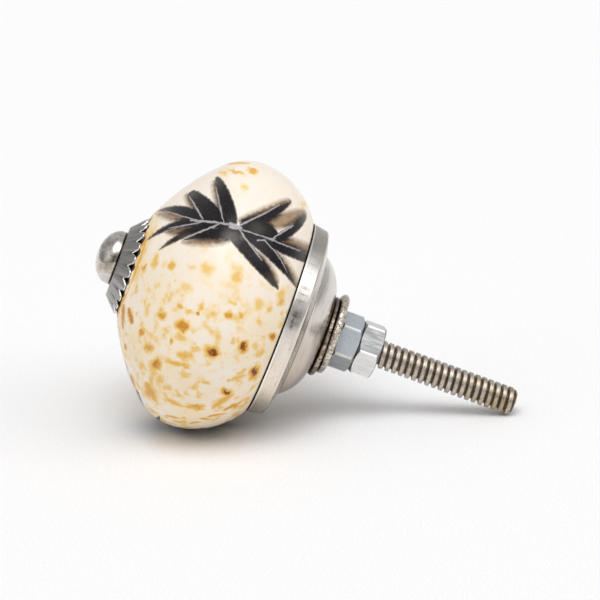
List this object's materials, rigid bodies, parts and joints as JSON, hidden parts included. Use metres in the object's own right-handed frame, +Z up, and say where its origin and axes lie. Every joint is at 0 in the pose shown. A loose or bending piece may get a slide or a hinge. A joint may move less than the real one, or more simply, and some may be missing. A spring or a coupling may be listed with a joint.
{
  "type": "cabinet knob",
  "caption": "Glazed ceramic cabinet knob on a domed bolt with a scalloped front washer, a metal base cup, washers, hexagon nuts and a threaded stud.",
  "frame": {"origin": "on the bolt's axis at the outer face of the mounting nut, where the free stud begins", "axes": "+Y along the bolt, out of the stud's end; the face of the knob looks towards -Y; +Z up as fixed to a drawer front"},
  "size_m": [0.0428, 0.0689, 0.0428],
  "materials": {
    "nickel_bolt": "polished, tarnished in the thread",
    "nickel_sheet": "polished, with dark streaks",
    "glazed_ceramic": "gloss glaze, ivory with ochre speckles and dark leaves",
    "steel_washer": "sheared edges, dirty",
    "zinc_nut": "bright zinc"
  },
  "bodies": {
    "root": {"dome_bolt": "nickel_bolt", "scalloped_washer": "nickel_sheet", "ceramic_body": "glazed_ceramic", "base_cup": "nickel_sheet", "inner_washer": "steel_washer", "outer_washer": "steel_washer", "clamp_nut": "zinc_nut", "mounting_nut": "zinc_nut"}
  },
  "joints": []
}
